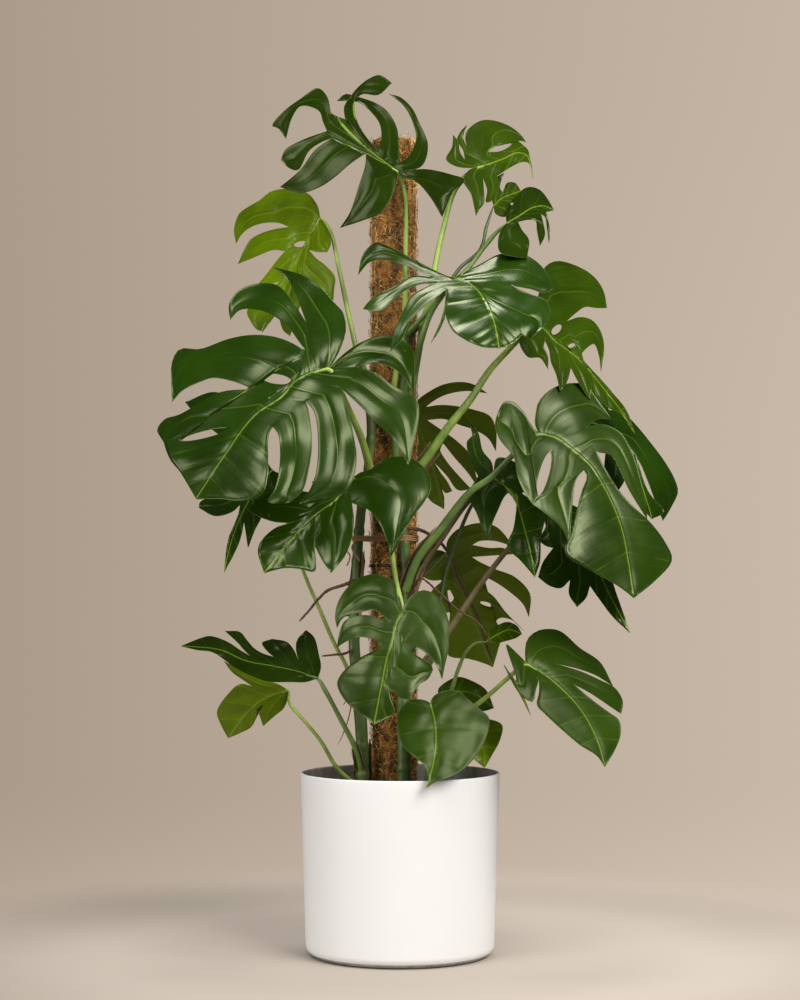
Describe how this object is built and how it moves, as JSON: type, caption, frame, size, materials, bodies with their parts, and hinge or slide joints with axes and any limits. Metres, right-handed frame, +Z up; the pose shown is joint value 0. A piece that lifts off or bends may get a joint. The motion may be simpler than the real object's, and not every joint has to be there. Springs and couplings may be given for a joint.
{
  "type": "potted swiss cheese plant",
  "caption": "Tall climbing swiss cheese plant with split, holed leaves on stalks, tied to a coir pole in a straight-sided round white planter.",
  "frame": {"origin": "centre of the planter's flat base, on the floor", "axes": "+Z up along the pole, +X to the right seen from the front, +Y to the back"},
  "size_m": [0.8223, 0.4791, 1.4092],
  "materials": {
    "planter": "satin white glaze",
    "soil": "loose potting soil",
    "core": "plain tube",
    "coir": "rough coconut fibre",
    "leaf": "waxy leaf, glossy above",
    "stalk": "smooth green stalk",
    "stem": "smooth jointed stem",
    "root": "dry bark",
    "twine": "jute twine",
    "cord": "thin dark cord"
  },
  "bodies": {
    "root": {"planter": "planter", "pole_core": "core", "coir_wrap": "coir", "soil": "soil", "blade_crown": "leaf", "blade_upper_left": "leaf", "blade_left_front": "leaf", "blade_front_right_high": "leaf", "blade_upper_right": "leaf", "blade_right_upper": "leaf", "blade_right_hood": "leaf", "blade_right_high": "leaf", "blade_right_front": "leaf", "blade_right_side": "leaf", "blade_right_low": "leaf", "blade_centre_right": "leaf", "blade_back_upper": "leaf", "blade_back_lower": "leaf", "blade_right_small": "leaf", "blade_bottom_right": "leaf", "blade_bottom_back": "leaf", "blade_right_bottom": "leaf", "blade_front_low": "leaf", "blade_front_bottom": "leaf", "blade_centre_front": "leaf", "blade_left_hidden": "leaf", "blade_left_low": "leaf", "blade_left_hanging": "leaf", "stalk_crown": "stalk", "stalk_upper_left": "stalk", "stalk_left_front": "stalk", "stalk_front_right_high": "stalk", "stalk_upper_right": "stalk", "stalk_right_upper": "stalk", "stalk_right_hood": "stalk", "stalk_right_high": "stalk", "stalk_right_front": "stalk", "stalk_right_side": "stalk", "stalk_right_low": "stalk", "stalk_centre_right": "stalk", "stalk_back_upper": "stalk", "stalk_back_lower": "stalk", "stalk_right_bottom": "stalk", "stalk_front_low": "stalk", "stalk_front_bottom": "stalk", "stalk_centre_front": "stalk", "stalk_left_hidden": "stalk", "stalk_left_low": "stalk", "stalk_left_hanging": "stalk", "stem_left": "stem", "stem_right": "stem", "stem_back": "stem", "stem_low": "stem", "root_left": "root", "root_left_low": "root", "root_right_thin": "root", "root_right": "root", "twine_tie": "twine", "cord_tie": "cord"}
  },
  "joints": []
}
